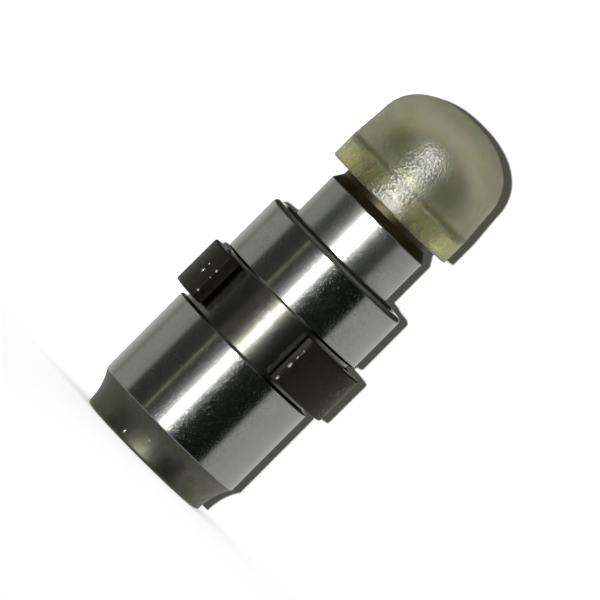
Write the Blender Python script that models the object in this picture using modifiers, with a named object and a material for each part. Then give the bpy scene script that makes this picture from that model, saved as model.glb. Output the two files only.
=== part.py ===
"""Hydraulic valve lifter: a pivot type lash adjuster with a clip in its oil groove and a
plastic shipping cap on its ball head.

Metres, +Z up. The lifter stands on its closed end: the origin is the centre of that end face,
and every piece is turned about Z. Run it with: blender --background --python part.py
"""

from math import acos, asin, cos, degrees, pi, radians, sin, sqrt, tan

import bmesh
import bpy

# Smoothness of the turned pieces
OUTER_FACETS = 56
INNER_FACETS = 40
MERGE = 1e-6
SHARP_ANGLE = radians(32)

# Running and seating clearances
RUNNING_CLEARANCE = 0.00003
SEAT_GAP = 0.00005

# Body: a deep cup, ground on its two lands
BODY_DIAMETER = 0.0140
BODY_HEIGHT = 0.02225
BODY_WALL = 0.0015
BODY_FLOOR = 0.0022
BODY_TOP_ROUND = 0.00070
BORE_FILLET = 0.00060
MOUTH_CHAMFER = 0.00015
END_STEP = 0.00085
END_ROUND = 0.00030
TAPER_HEIGHT = 0.0031

# Oil groove round the body, with its feed hole on the side away from the clip's gap
UPPER_LAND = 0.00544
GROOVE_WIDTH = 0.00525
GROOVE_DEPTH = 0.00050
GROOVE_CHAMFER = 0.00015
FEED_HOLE_DIAMETER = 0.0016
FEED_MARGIN = 0.00020

# Spring clip, loose in the oil groove
CLIP_WALL = 0.00128
CLIP_END_PLAY = 0.00040
CLIP_PLAY = 0.00030
CLIP_CHAMFER = 0.00018
CLIP_GAP_ANGLE = radians(73.7)
CLIP_GAP_DIRECTION = radians(-103.5)

# Retaining ring, pressed into the mouth of the body
RING_HEIGHT = 0.0015
RING_LIP = 0.00020
RING_SEAT_STEP = 0.00040
RING_CHAMFER = 0.00012

# Plunger: guide skirt, ground stem, neck and ball head
PLUNGER_TRAVEL = 0.0030
SKIRT_STEP = 0.00047
SKIRT_CHAMFER = 0.00010
STEM_CLEARANCE = 0.00010
STEM_REACH = 0.0043
NECK_STEP = 0.00050
NECK_CHAMFER = 0.00080
WAIST_DEPTH = 0.00055
BALL_OVERHANG = 0.00025
BALL_REACH = 0.0036
HEAD_HOLE_DIAMETER = 0.0016
HEAD_FLAT_DIAMETER = 0.0030
RESERVOIR_WALL = 0.0016
RESERVOIR_ROOF_ANGLE = radians(40)
RESERVOIR_ROOF_DROP = 0.0026

# Leak-down piston with the valve seat under its floor
PISTON_FLOOR = 0.0020
PISTON_NECK = 0.0012
SEAT_ANGLE = radians(45)
SEAT_INNER_LAND = 0.00008
SEAT_OUTER_LAND = 0.00030

# Check valve: ball, spring and windowed cage
CHECK_BALL_DIAMETER = 0.0032
CHECK_SPRING_WIRE = 0.00016
CHECK_SPRING_DIAMETER = 0.0019
CHECK_SPRING_HEIGHT = 0.00095
CHECK_SPRING_TURNS = 2.5
CAGE_SHEET = 0.00035
CAGE_BALL_CLEARANCE = 0.00035
CAGE_FLANGE_EDGE = 0.00040
CAGE_DRAIN_DIAMETER = 0.0012
CAGE_WINDOWS = 3
CAGE_WINDOW_WIDTH = 0.0014
CAGE_WINDOW_SILL = 0.00060

# Return spring under the piston
RETURN_SPRING_WIRE = 0.00070
RETURN_SPRING_CLEARANCE = 0.00075
RETURN_SPRING_TURNS = 3.5
SPRING_END_TURNS = 0.75
COIL_POINTS_PER_TURN = 20
END_COIL_GAP = 0.00005
BOTTOMING_GAP = 0.00020

# Shipping cap over the ball head
CAP_RIM_REACH = 0.00135
CAP_SIDE_WALL = 0.00117
CAP_SKIRT_WALL = 0.00085
CAP_CROWN_WALL = 0.00115
CAP_DRAFT_STEP = 0.00023
CAP_GRIP_CLEARANCE = 0.00005
CAP_GRIP_ABOVE_BALL = 0.00015
CAP_HEAD_ROOM = 0.00175
CAP_CROWN_HEIGHT = 0.0045
CAP_CROWN_POWER = 2.25
CAP_CROWN_POINTS = 8
CAP_RIM_ROUND = 0.00012

# Radii that more than one piece shares, from the body inwards
BODY_RADIUS = BODY_DIAMETER / 2
BORE_RADIUS = BODY_RADIUS - BODY_WALL
GROOVE_RADIUS = BODY_RADIUS - GROOVE_DEPTH
FEED_RADIUS = FEED_HOLE_DIAMETER / 2
PISTON_RADIUS = BORE_RADIUS - RUNNING_CLEARANCE
WAIST_RADIUS = PISTON_RADIUS - WAIST_DEPTH
STEM_RADIUS = PISTON_RADIUS - SKIRT_STEP
NECK_RADIUS = STEM_RADIUS - NECK_STEP
BALL_RADIUS = NECK_RADIUS + BALL_OVERHANG
RESERVOIR_RADIUS = WAIST_RADIUS - RESERVOIR_WALL
RING_RADIUS = BORE_RADIUS + RING_SEAT_STEP
CHECK_BALL_RADIUS = CHECK_BALL_DIAMETER / 2
SEAT_RADIUS = CHECK_BALL_RADIUS * sin(SEAT_ANGLE)
RETURN_SPRING_RADIUS = BORE_RADIUS - RETURN_SPRING_CLEARANCE - RETURN_SPRING_WIRE / 2

# Heights above the end face that more than one piece shares
GROOVE_TOP = BODY_HEIGHT - UPPER_LAND
GROOVE_START = GROOVE_TOP - GROOVE_WIDTH
FEED_Z = GROOVE_START + GROOVE_WIDTH / 2
RING_Z = BODY_HEIGHT + RING_LIP - RING_HEIGHT
SKIRT_TOP = RING_Z - SEAT_GAP
STEM_TOP = BODY_HEIGHT + STEM_REACH
BALL_Z = STEM_TOP + BALL_REACH
HEAD_TOP = BALL_Z + sqrt(BALL_RADIUS ** 2 - (HEAD_FLAT_DIAMETER / 2) ** 2)
WAIST_START = FEED_Z - FEED_RADIUS - FEED_MARGIN
WAIST_END = FEED_Z + FEED_RADIUS + FEED_MARGIN + PLUNGER_TRAVEL
PLUNGER_Z = WAIST_START + PISTON_NECK + SEAT_GAP
CAP_Z = STEM_TOP + CAP_RIM_REACH

# Depths below the leak-down piston's lower face, and the height of that face
CHECK_BALL_DROP = CHECK_BALL_RADIUS * cos(SEAT_ANGLE) - SEAT_OUTER_LAND / tan(SEAT_ANGLE) + SEAT_GAP
CHECK_SPRING_DROP = (CHECK_BALL_DROP + SEAT_GAP
                     + sqrt(CHECK_BALL_RADIUS ** 2 - (CHECK_SPRING_DIAMETER / 2) ** 2))
CAGE_DEPTH = CHECK_SPRING_DROP + CHECK_SPRING_HEIGHT + SEAT_GAP + CAGE_SHEET
PISTON_Z = BODY_FLOOR + BOTTOMING_GAP + PLUNGER_TRAVEL + CAGE_DEPTH


def arc(centre, radius, start, end, steps):
    """Points (r, z) on an arc from one angle to the other, in degrees from +r towards +z."""
    angles = [radians(start + (end - start) * i / steps) for i in range(steps + 1)]
    return [(centre[0] + radius * cos(a), centre[1] + radius * sin(a)) for a in angles]


def crown(radius, height, base_z, power, steps):
    """Points (r, z) of a superellipse, from its shoulder at base_z up to the axis."""
    points = []
    for i in range(steps):
        turn = pi / 2 * i / steps
        points.append((radius * cos(turn) ** (2 / power),
                       base_z + height * sin(turn) ** (2 / power)))
    return points + [(0.0, base_z + height)]


def end_taper(low_radius, high_radius, low_z, high_z, steps):
    """Points (r, z), top first, of a hollow arc that leaves the end upright and meets the land."""
    rise, growth = high_z - low_z, high_radius - low_radius
    radius = (rise * rise + growth * growth) / (2 * growth)
    widest = acos(1 - growth / radius)
    angles = [widest * (steps - i) / steps for i in range(steps + 1)]
    return [(low_radius + radius * (1 - cos(a)), low_z + radius * sin(a)) for a in angles]


def collection(name):
    """A new collection in the scene."""
    made = bpy.data.collections.new(name)
    bpy.context.scene.collection.children.link(made)
    return made


def material(name, colour, roughness, metallic, alpha=1.0):
    """A Principled material."""
    made = bpy.data.materials.new(name)
    made.use_nodes = True
    shader = made.node_tree.nodes["Principled BSDF"]
    shader.inputs["Base Color"].default_value = (*colour, 1.0)
    shader.inputs["Roughness"].default_value = roughness
    shader.inputs["Metallic"].default_value = metallic
    shader.inputs["Alpha"].default_value = alpha
    made.diffuse_color = (*colour, alpha)
    return made


def add(name, data, group, finish=None):
    """An object in its collection, with its material."""
    obj = bpy.data.objects.new(name, data)
    group.objects.link(obj)
    if finish:
        data.materials.append(finish)
    return obj


def turned(name, outline, group, finish=None, closed=True, facets=INNER_FACETS):
    """A piece turned about Z from its outline (r, z), which runs down the outer side."""
    edges = [(i, i + 1) for i in range(len(outline) - 1)]
    if closed:
        edges.append((len(outline) - 1, 0))
    mesh = bpy.data.meshes.new(name)
    mesh.from_pydata([(r, 0.0, z) for r, z in outline], edges, [])
    obj = add(name, mesh, group, finish)
    screw = obj.modifiers.new("turn", "SCREW")
    screw.axis = "Z"
    screw.angle = 2 * pi
    screw.steps = screw.render_steps = facets
    screw.use_merge_vertices = True
    screw.merge_threshold = MERGE
    return obj


def hide_cutter(obj):
    """Shows a cutter as wire only."""
    obj.hide_render = True
    obj.display_type = "WIRE"
    return obj


def rod_cutter(name, group, radius, start, end, z, direction):
    """A round cutter that runs outwards from start to end, square to the Z axis."""
    mesh = bpy.data.meshes.new(name)
    shape = bmesh.new()
    bmesh.ops.create_cone(shape, cap_ends=True, segments=20, radius1=radius, radius2=radius,
                          depth=end - start)
    shape.to_mesh(mesh)
    shape.free()
    obj = add(name, mesh, group)
    middle = (start + end) / 2
    obj.location = (middle * cos(direction), middle * sin(direction), z)
    obj.rotation_euler = (0.0, pi / 2, direction)
    return hide_cutter(obj)


def box_cutter(name, group, size, centre, direction):
    """A box cutter, size (outwards, across, up), turned to a direction about Z."""
    mesh = bpy.data.meshes.new(name)
    shape = bmesh.new()
    bmesh.ops.create_cube(shape, size=1.0)
    bmesh.ops.scale(shape, vec=size, verts=shape.verts)
    shape.to_mesh(mesh)
    shape.free()
    obj = add(name, mesh, group)
    obj.location = (centre[0] * cos(direction), centre[0] * sin(direction), centre[1])
    obj.rotation_euler = (0.0, 0.0, direction)
    return hide_cutter(obj)


def sector_cutter(name, group, reach, low, high, angle, direction):
    """A wedge from the Z axis that opens by an angle about a direction, from low to high."""
    mesh = bpy.data.meshes.new(name)
    shape = bmesh.new()
    turns = [direction + angle * (share - 0.5) for share in (0.0, 0.5, 1.0)]
    corners = [(0.0, 0.0, low)] + [(reach * cos(a), reach * sin(a), low) for a in turns]
    floor = shape.faces.new([shape.verts.new(corner) for corner in corners])
    raised = bmesh.ops.extrude_face_region(shape, geom=[floor])["geom"]
    lifted = [item for item in raised if isinstance(item, bmesh.types.BMVert)]
    bmesh.ops.translate(shape, vec=(0.0, 0.0, high - low), verts=lifted)
    bmesh.ops.recalc_face_normals(shape, faces=shape.faces)
    shape.to_mesh(mesh)
    shape.free()
    return hide_cutter(add(name, mesh, group))


def cut(obj, cutter):
    """Takes a cutter's shape out of a piece."""
    boolean = obj.modifiers.new(cutter.name, "BOOLEAN")
    boolean.operation = "DIFFERENCE"
    boolean.object = cutter


def spring(name, group, finish, wire, radius, turns, low, high):
    """A coil spring with closed ends between two heights, its wire's round ends included."""
    steps = round(turns * COIL_POINTS_PER_TURN)
    base, height = low + wire / 2, high - low - wire
    end_rise = SPRING_END_TURNS * (wire + END_COIL_GAP)
    active = turns - 2 * SPRING_END_TURNS
    points = []
    for i in range(steps + 1):
        turn = turns * i / steps
        end_turn = min(turn, turns - turn, SPRING_END_TURNS)
        lift = end_turn * (wire + END_COIL_GAP)
        if turn > turns / 2:
            lift = height - lift
        if SPRING_END_TURNS < turn < turns - SPRING_END_TURNS:
            share = (turn - SPRING_END_TURNS) / active
            lift = end_rise + (height - 2 * end_rise) * share
        angle = 2 * pi * turn
        points.append((radius * cos(angle), radius * sin(angle), base + lift))
    curve = bpy.data.curves.new(name, "CURVE")
    curve.dimensions = "3D"
    curve.bevel_depth = wire / 2
    curve.bevel_resolution = 2
    curve.use_fill_caps = True
    line = curve.splines.new("POLY")
    line.points.add(len(points) - 1)
    for point, place in zip(line.points, points):
        point.co = (*place, 1.0)
    return add(name, curve, group, finish)


def body_outline():
    """The cup: floor and bore from the inside, over the mouth, and down the outside."""
    seat_radius = RING_RADIUS + RUNNING_CLEARANCE
    ring_seat = RING_Z - SEAT_GAP
    end_radius = BODY_RADIUS - END_STEP
    top_round = min(BODY_TOP_ROUND, BODY_RADIUS - seat_radius - 2 * MOUTH_CHAMFER)
    fillet_centre = (BORE_RADIUS - BORE_FILLET, BODY_FLOOR + BORE_FILLET)
    bore = [(0.0, BODY_FLOOR)] + arc(fillet_centre, BORE_FILLET, -90, 0, 3)
    mouth = [
        (BORE_RADIUS, ring_seat),
        (seat_radius, ring_seat),
        (seat_radius, BODY_HEIGHT - MOUTH_CHAMFER),
        (seat_radius + MOUTH_CHAMFER, BODY_HEIGHT),
    ]
    round_centre = (BODY_RADIUS - top_round, BODY_HEIGHT - top_round)
    shoulder = arc(round_centre, top_round, 90, 0, 5)
    groove = [
        (BODY_RADIUS, GROOVE_TOP + GROOVE_CHAMFER),
        (BODY_RADIUS - GROOVE_CHAMFER, GROOVE_TOP),
        (GROOVE_RADIUS, GROOVE_TOP),
        (GROOVE_RADIUS, GROOVE_START),
        (BODY_RADIUS - GROOVE_CHAMFER, GROOVE_START),
        (BODY_RADIUS, GROOVE_START - GROOVE_CHAMFER),
    ]
    taper = end_taper(end_radius, BODY_RADIUS, END_ROUND, TAPER_HEIGHT, 6)
    end = arc((end_radius - END_ROUND, END_ROUND), END_ROUND, 0, -90, 3)[1:]
    return bore + mouth + shoulder + groove + taper + end + [(0.0, 0.0)]


def make_body(group, cutters, finish):
    """The ground steel body, with the feed hole through the groove's floor."""
    body = turned("body", body_outline(), group, finish, closed=False, facets=OUTER_FACETS)
    inner, outer = BORE_RADIUS - BORE_FILLET, BODY_RADIUS
    cut(body, rod_cutter("body_feed_hole", cutters, FEED_RADIUS, inner, outer, FEED_Z, pi / 2))
    return body


def make_ring(group, finish):
    """The ring that keeps the plunger in, standing a little proud of the mouth."""
    top, chamfer = RING_HEIGHT, RING_CHAMFER
    hole = STEM_RADIUS + STEM_CLEARANCE
    outline = [
        (RING_RADIUS - chamfer, top),
        (RING_RADIUS, top - chamfer),
        (RING_RADIUS, 0.0),
        (hole, 0.0),
        (hole, top - chamfer),
        (hole + chamfer, top),
    ]
    ring = turned("mouth_retaining_ring", outline, group, finish, facets=OUTER_FACETS)
    ring.location.z = RING_Z
    return ring


def make_clip(group, cutters, finish):
    """The open spring clip, a flat band with square ends, halfway up the groove."""
    inner = GROOVE_RADIUS + CLIP_PLAY
    outer, half, chamfer = inner + CLIP_WALL, GROOVE_WIDTH / 2 - CLIP_END_PLAY, CLIP_CHAMFER
    outline = [
        (outer - chamfer, half),
        (outer, half - chamfer),
        (outer, chamfer - half),
        (outer - chamfer, -half),
        (inner, -half),
        (inner, half),
    ]
    clip = turned("retaining_clip", outline, group, finish, facets=OUTER_FACETS)
    clip.location.z = FEED_Z
    cutter = sector_cutter("clip_gap", cutters, 2 * outer, GROOVE_START, GROOVE_TOP,
                           CLIP_GAP_ANGLE, CLIP_GAP_DIRECTION)
    cut(clip, cutter)
    return clip


def head_outline():
    """The ball head from its oil hole over the flat and round the ball to the neck."""
    first = 90 - degrees(asin(HEAD_FLAT_DIAMETER / 2 / BALL_RADIUS))
    last = -degrees(acos(NECK_RADIUS / BALL_RADIUS))
    ball = arc((0.0, BALL_Z), BALL_RADIUS, first, last, 11)
    return [(HEAD_HOLE_DIAMETER / 2, HEAD_TOP)] + ball


def plunger_outline():
    """Down the outside from the head to the lower end, then up the reservoir and oil hole."""
    hole = HEAD_HOLE_DIAMETER / 2
    roof = BALL_Z - RESERVOIR_ROOF_DROP
    roof_rise = (RESERVOIR_RADIUS - hole) * tan(RESERVOIR_ROOF_ANGLE)
    stem = [
        (NECK_RADIUS, STEM_TOP + NECK_CHAMFER),
        (STEM_RADIUS, STEM_TOP),
        (STEM_RADIUS, SKIRT_TOP),
    ]
    skirt = [
        (PISTON_RADIUS - SKIRT_CHAMFER, SKIRT_TOP),
        (PISTON_RADIUS, SKIRT_TOP - SKIRT_CHAMFER),
        (PISTON_RADIUS, WAIST_END),
        (WAIST_RADIUS, WAIST_END),
        (WAIST_RADIUS, PLUNGER_Z),
    ]
    reservoir = [(RESERVOIR_RADIUS, PLUNGER_Z), (RESERVOIR_RADIUS, roof), (hole, roof + roof_rise)]
    outline = head_outline() + stem + skirt + reservoir
    return [(r, z - PLUNGER_Z) for r, z in outline]


def make_plunger(group, cutters, finish):
    """The hollow ball plunger, with its feed hole through the waist."""
    plunger = turned("plunger", plunger_outline(), group, finish, facets=OUTER_FACETS)
    plunger.location.z = PLUNGER_Z
    hole_z = (PLUNGER_Z + WAIST_END) / 2
    inner, outer = RESERVOIR_RADIUS / 2, BORE_RADIUS
    cut(plunger, rod_cutter("plunger_feed_hole", cutters, FEED_RADIUS, inner, outer, hole_z, 0.0))
    return plunger


def make_piston(group, finish):
    """The leak-down piston: a short cup with a chamfered valve seat under its floor."""
    hole, mouth = SEAT_RADIUS - SEAT_INNER_LAND, SEAT_RADIUS + SEAT_OUTER_LAND
    neck_z = WAIST_START - PISTON_Z
    top = neck_z + PISTON_NECK
    outline = [
        (WAIST_RADIUS, top),
        (WAIST_RADIUS, neck_z),
        (PISTON_RADIUS, neck_z),
        (PISTON_RADIUS, SKIRT_CHAMFER),
        (PISTON_RADIUS - SKIRT_CHAMFER, 0.0),
        (mouth, 0.0),
        (hole, (mouth - hole) / tan(SEAT_ANGLE)),
        (hole, PISTON_FLOOR),
        (RESERVOIR_RADIUS, PISTON_FLOOR),
        (RESERVOIR_RADIUS, top),
    ]
    piston = turned("leak_down_piston", outline, group, finish, facets=OUTER_FACETS)
    piston.location.z = PISTON_Z
    return piston


def make_check_ball(group, finish):
    """The hardened check ball, just off its seat."""
    mesh = bpy.data.meshes.new("check_ball")
    shape = bmesh.new()
    bmesh.ops.create_uvsphere(shape, u_segments=24, v_segments=14, radius=CHECK_BALL_RADIUS)
    shape.to_mesh(mesh)
    shape.free()
    ball = add("check_ball", mesh, group, finish)
    ball.location.z = PISTON_Z - CHECK_BALL_DROP
    return ball


def make_cage(group, cutters, finish):
    """The pressed sheet cage: a flanged hat with windows round its wall and a drain hole."""
    inner = CHECK_BALL_RADIUS + CAGE_BALL_CLEARANCE
    wall, drain = inner + CAGE_SHEET, CAGE_DRAIN_DIAMETER / 2
    rim = RETURN_SPRING_RADIUS + CAGE_FLANGE_EDGE
    top, floor = -SEAT_GAP, CAGE_SHEET - CAGE_DEPTH
    outline = [
        (rim, top),
        (rim, top - CAGE_SHEET),
        (wall, top - CAGE_SHEET),
        (wall, -CAGE_DEPTH),
        (drain, -CAGE_DEPTH),
        (drain, floor),
        (inner, floor),
        (inner, top),
    ]
    cage = turned("check_valve_cage", outline, group, finish)
    cage.location.z = PISTON_Z
    low, high = PISTON_Z + floor + CAGE_WINDOW_SILL, PISTON_Z - 2 * CAGE_SHEET
    size = (2 * CAGE_SHEET + CAGE_BALL_CLEARANCE, CAGE_WINDOW_WIDTH, high - low)
    for i in range(CAGE_WINDOWS):
        direction = 2 * pi * i / CAGE_WINDOWS
        cut(cage, box_cutter(f"cage_window_{i + 1}", cutters, size,
                             (inner + CAGE_SHEET / 2, (low + high) / 2), direction))
    return cage


def make_check_spring(group, finish):
    """The fine spring between the cage's floor and the check ball."""
    top = PISTON_Z - CHECK_SPRING_DROP
    return spring("check_ball_spring", group, finish, CHECK_SPRING_WIRE,
                  CHECK_SPRING_DIAMETER / 2, CHECK_SPRING_TURNS, top - CHECK_SPRING_HEIGHT, top)


def make_return_spring(group, finish):
    """The strong spring between the body's floor and the cage's flange."""
    return spring("plunger_return_spring", group, finish, RETURN_SPRING_WIRE,
                  RETURN_SPRING_RADIUS, RETURN_SPRING_TURNS, BODY_FLOOR + SEAT_GAP,
                  PISTON_Z - CAGE_SHEET - 2 * SEAT_GAP)


def make_cap(group, finish):
    """The thin plastic cap: a wider skirt inside the rim, and a crown with soft shoulders."""
    bore = BALL_RADIUS + CAP_GRIP_CLEARANCE
    side = bore + CAP_SIDE_WALL
    rim = side + CAP_DRAFT_STEP
    skirt = rim - CAP_SKIRT_WALL
    grip = BALL_Z + CAP_GRIP_ABOVE_BALL - CAP_Z
    shoulder = HEAD_TOP + CAP_HEAD_ROOM + CAP_CROWN_WALL - CAP_CROWN_HEIGHT - CAP_Z
    outer = crown(side, CAP_CROWN_HEIGHT, shoulder, CAP_CROWN_POWER, CAP_CROWN_POINTS)
    inner = crown(bore, CAP_CROWN_HEIGHT - CAP_CROWN_WALL, shoulder, CAP_CROWN_POWER,
                  CAP_CROWN_POINTS)
    side_wall = [(rim, grip), (rim, CAP_RIM_ROUND), (rim - CAP_RIM_ROUND, 0.0)]
    skirt_wall = [
        (skirt + CAP_RIM_ROUND, 0.0),
        (skirt, CAP_RIM_ROUND),
        (skirt, grip - (skirt - bore)),
        (bore, grip),
    ]
    outline = outer[::-1] + side_wall + skirt_wall + inner
    cap = turned("protective_cap", outline, group, finish, closed=False, facets=OUTER_FACETS)
    cap.location.z = CAP_Z
    return cap


def shade(pieces):
    """Turns every piece into its finished mesh, smooth between its sharp edges."""
    bpy.context.view_layer.update()
    graph = bpy.context.evaluated_depsgraph_get()
    for piece in pieces:
        mesh = bpy.data.meshes.new_from_object(piece.evaluated_get(graph))
        mesh.name = piece.name
        if piece.type == "CURVE":
            mesh = welded(mesh)
        mesh.shade_smooth()
        mesh.set_sharp_from_angle(angle=SHARP_ANGLE)
        replace_data(piece, mesh)


def welded(mesh):
    """A curve's mesh with the rims of its caps joined to its sides."""
    shape = bmesh.new()
    shape.from_mesh(mesh)
    bmesh.ops.remove_doubles(shape, verts=shape.verts, dist=MERGE)
    shape.to_mesh(mesh)
    shape.free()
    return mesh


def replace_data(piece, mesh):
    """Gives a piece its finished mesh, as a new object where it was a curve."""
    if piece.type == "MESH":
        piece.modifiers.clear()
        piece.data = mesh
        return
    name, group, place = piece.name, piece.users_collection[0], piece.matrix_world.copy()
    bpy.data.objects.remove(piece)
    solid = bpy.data.objects.new(name, mesh)
    solid.matrix_world = place
    group.objects.link(solid)


def carry(parent_name, child_names, group):
    """Hangs pieces on the piece that carries them, each kept where it is."""
    parent = group.objects[parent_name]
    for name in child_names:
        child = group.objects[name]
        child.parent = parent
        child.matrix_parent_inverse = parent.matrix_world.inverted()


def main():
    """Clears the scene and builds the lifter."""
    for obj in list(bpy.data.objects):
        bpy.data.objects.remove(obj)
    group, cutters = collection("hydraulic_valve_lifter"), collection("cutters")
    ground = material("ground_steel", (0.62, 0.62, 0.60), 0.18, 1.0)
    blued = material("dark_steel", (0.16, 0.15, 0.13), 0.42, 1.0)
    spring_steel = material("spring_steel", (0.42, 0.42, 0.41), 0.30, 1.0)
    plastic = material("natural_plastic", (0.56, 0.53, 0.38), 0.45, 0.0, alpha=0.75)
    pieces = [
        make_body(group, cutters, ground),
        make_ring(group, blued),
        make_clip(group, cutters, blued),
        make_plunger(group, cutters, ground),
        make_piston(group, ground),
        make_check_ball(group, ground),
        make_cage(group, cutters, spring_steel),
        make_check_spring(group, spring_steel),
        make_return_spring(group, spring_steel),
        make_cap(group, plastic),
    ]
    shade(pieces)
    bpy.context.view_layer.update()
    carry("body", ["mouth_retaining_ring", "retaining_clip", "leak_down_piston",
                   "plunger_return_spring"], group)
    carry("leak_down_piston", ["plunger", "check_valve_cage", "check_ball",
                               "check_ball_spring"], group)
    carry("plunger", ["protective_cap"], group)


main()
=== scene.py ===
"""The looks of a hydraulic valve lifter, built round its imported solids.

Metres, +Z up: the lifter stands on its closed end. Each sub-assembly is a class that holds its
own sizes, works its surfaces out on numpy grids and dresses them. The studio comes last.
"""

import logging
import math
from collections.abc import Sequence
from dataclasses import dataclass
from enum import Enum
from typing import Any

import bpy
import numpy as np
from mathutils import Matrix, Vector


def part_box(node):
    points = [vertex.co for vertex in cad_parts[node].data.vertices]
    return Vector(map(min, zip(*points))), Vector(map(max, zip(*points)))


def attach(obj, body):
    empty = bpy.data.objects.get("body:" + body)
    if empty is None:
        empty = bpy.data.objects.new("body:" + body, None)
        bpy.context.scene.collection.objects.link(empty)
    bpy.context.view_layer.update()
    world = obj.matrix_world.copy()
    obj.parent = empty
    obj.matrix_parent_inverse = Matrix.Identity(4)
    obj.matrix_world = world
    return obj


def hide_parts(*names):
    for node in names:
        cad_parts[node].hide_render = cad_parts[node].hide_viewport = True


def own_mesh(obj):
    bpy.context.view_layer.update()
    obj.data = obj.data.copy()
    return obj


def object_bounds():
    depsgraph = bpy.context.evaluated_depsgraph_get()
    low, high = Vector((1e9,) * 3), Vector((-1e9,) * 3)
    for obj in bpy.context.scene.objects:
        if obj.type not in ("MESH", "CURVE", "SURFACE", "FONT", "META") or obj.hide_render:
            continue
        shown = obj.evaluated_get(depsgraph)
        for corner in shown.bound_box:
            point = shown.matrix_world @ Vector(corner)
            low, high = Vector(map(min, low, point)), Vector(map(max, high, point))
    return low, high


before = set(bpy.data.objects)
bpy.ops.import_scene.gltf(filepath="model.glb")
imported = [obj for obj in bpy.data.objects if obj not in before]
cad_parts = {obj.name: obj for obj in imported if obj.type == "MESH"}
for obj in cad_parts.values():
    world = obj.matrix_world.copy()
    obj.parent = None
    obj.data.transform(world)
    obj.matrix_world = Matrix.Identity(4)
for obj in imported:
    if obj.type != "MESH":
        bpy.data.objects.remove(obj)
CAD_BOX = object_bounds()

log = logging.getLogger("valve_lifter")

Array = np.ndarray
Colour = tuple[float, float, float]
Corner = tuple[float, float, float]
Speck = tuple[float, float, float, float, float]

OUTER_FACETS = 320
INNER_FACETS = 160
SHARP_ANGLE = math.radians(30)
SAME_POINT = 1e-8
HOLD = 5e-5


class Carrier(Enum):
    """The CAD bodies that pieces ride on."""

    HOUSING = "housing"
    PUMP = "pump_piston"
    VALVE = "check_valve"
    PLUNGER = "ball_plunger"
    CAP = "cap"
    CLIP = "clip"


class Slot(Enum):
    """The record's material slots."""

    GROUND = "ground_steel"
    DARK = "dark_steel"
    SPRING = "spring_steel"
    PLASTIC = "natural_plastic"


@dataclass
class Surface:
    """Points and faces of one closed surface, before it becomes a mesh."""

    points: Array
    faces: list[list[int]]

    def volume(self) -> float:
        """Six times the volume: each face is fanned, and each triangle's triple product added."""
        total = 0.0
        for sides in {len(face) for face in self.faces}:
            corners = self.points[np.array([face for face in self.faces if len(face) == sides])]
            for i in range(1, sides - 1):
                normal = np.cross(corners[:, i], corners[:, i + 1])
                total += float(np.einsum("ij,ij->", corners[:, 0], normal))
        return total

    def outward(self) -> "Surface":
        """The same surface with its faces pointing out."""
        if self.volume() < 0:
            self.faces = [face[::-1] for face in self.faces]
        return self


def grid_faces(rows: int, columns: int, joined: bool) -> list[list[int]]:
    """Quads over a grid whose columns run round and meet.

    Args:
        rows: Number of rows of points.
        columns: Number of points in a row.
        joined: True if the last row meets the first.

    Returns:
        Lists of four point numbers, counted row by row.
    """
    row = np.arange(rows if joined else rows - 1)[:, None]
    column = np.arange(columns)[None, :]
    above, beside = (row + 1) % rows, (column + 1) % columns
    corners = (row * columns + column, row * columns + beside,
               above * columns + beside, above * columns + column)
    return np.stack(corners, axis=-1).reshape(-1, 4).tolist()


def pole_faces(ring: Array, pole: int) -> list[list[int]]:
    """Triangles from each step of a ring of point numbers to one pole."""
    return np.stack([ring, np.roll(ring, -1), np.full_like(ring, pole)], axis=-1).tolist()


def turned(outline: Array, facets: int, closed: bool = False) -> Surface:
    """A surface turned about Z: x = r cos a, y = r sin a, z = z over an outline (r, z).

    Args:
        outline: Points (r, z); a first or last point on the axis becomes a pole.
        facets: Steps round the axis.
        closed: True if the outline's last point meets its first.

    Returns:
        The closed surface.
    """
    first, last = outline[0, 0] < SAME_POINT, outline[-1, 0] < SAME_POINT
    rings = outline[int(first):len(outline) - int(last)]
    angle = np.linspace(0, 2 * np.pi, facets, endpoint=False)
    radius, height = rings[:, :1], np.repeat(rings[:, 1:], facets, axis=1)
    points = np.stack([radius * np.cos(angle), radius * np.sin(angle), height], axis=-1)
    points = points.reshape(-1, 3)
    faces = grid_faces(len(rings), facets, closed)
    around = np.arange(facets)
    if first:
        points = np.vstack([points, [0.0, 0.0, outline[0, 1]]])
        faces += pole_faces(around[::-1], len(points) - 1)
    if last:
        points = np.vstack([points, [0.0, 0.0, outline[-1, 1]]])
        faces += pole_faces((len(rings) - 1) * facets + around, len(points) - 1)
    return Surface(points, faces).outward()


def carried(stations: Array) -> Surface:
    """A surface through closed sections, shut at both ends by a pole at the section's middle.

    Args:
        stations: Sections along the path, as (stations, points, 3).

    Returns:
        The closed surface.
    """
    count, around = stations.shape[:2]
    middles = stations[[0, -1]].mean(axis=1)
    points = np.vstack([stations.reshape(-1, 3), middles])
    ring = np.arange(around)
    faces = grid_faces(count, around, False)
    faces += pole_faces(ring[::-1], count * around)
    faces += pole_faces((count - 1) * around + ring, count * around + 1)
    return Surface(points, faces).outward()


def arc(centre: tuple[float, float], radius: float, start: float, end: float, steps: int) -> Array:
    """Points (r, z) at centre + radius (cos a, sin a), for a from start to end in degrees."""
    angle = np.radians(np.linspace(start, end, steps + 1))
    return np.column_stack([centre[0] + radius * np.cos(angle), centre[1] + radius * np.sin(angle)])


def superellipse(radius: float, height: float, base: float, power: float, steps: int) -> Array:
    """Points (r, z) of a quarter crown, from its side up to the axis.

    r = radius cos(a)^(2/power) and z = base + height sin(a)^(2/power), for a from 0 to 90 degrees.
    """
    angle = np.linspace(0, np.pi / 2, steps + 1)
    share = 2 / power
    across = radius * np.clip(np.cos(angle), 0, 1) ** share
    across[-1] = 0.0
    return np.column_stack([across, base + height * np.sin(angle) ** share])


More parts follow.
